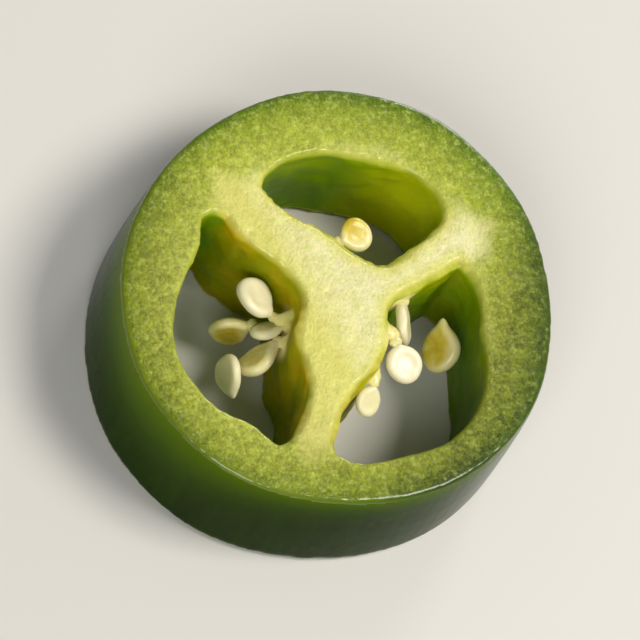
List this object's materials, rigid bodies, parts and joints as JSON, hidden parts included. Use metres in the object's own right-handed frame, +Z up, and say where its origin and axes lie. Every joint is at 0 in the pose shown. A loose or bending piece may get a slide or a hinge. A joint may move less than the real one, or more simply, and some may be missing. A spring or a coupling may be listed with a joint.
{
  "type": "chilli pepper slice",
  "caption": "Thick ring cut across a green chilli pepper, lying on a cut face: glossy skin, juicy wall, pale placenta between open seed chambers, and flat round seeds on short stalks.",
  "frame": {"origin": "middle of the lower cut face that the slice lies on", "axes": "+Z up and along the pod, from the lower cut face to the upper one; +X and +Y across the pod, with the two large chambers towards -X and +X and the small one towards +Y"},
  "size_m": [0.0344, 0.0352, 0.01],
  "materials": {
    "pepper_flesh": "satin",
    "seed_coat": "satin"
  },
  "bodies": {
    "root": {"pepper_slice": "pepper_flesh", "seed_left_top": "seed_coat", "seed_left_edge": "seed_coat", "seed_left_far": "seed_coat", "seed_left_lower": "seed_coat", "seed_left_below": "seed_coat", "seed_upper": "seed_coat", "seed_right_edge": "seed_coat", "seed_right_round": "seed_coat", "seed_right_low": "seed_coat", "seed_loose": "seed_coat"}
  },
  "joints": []
}
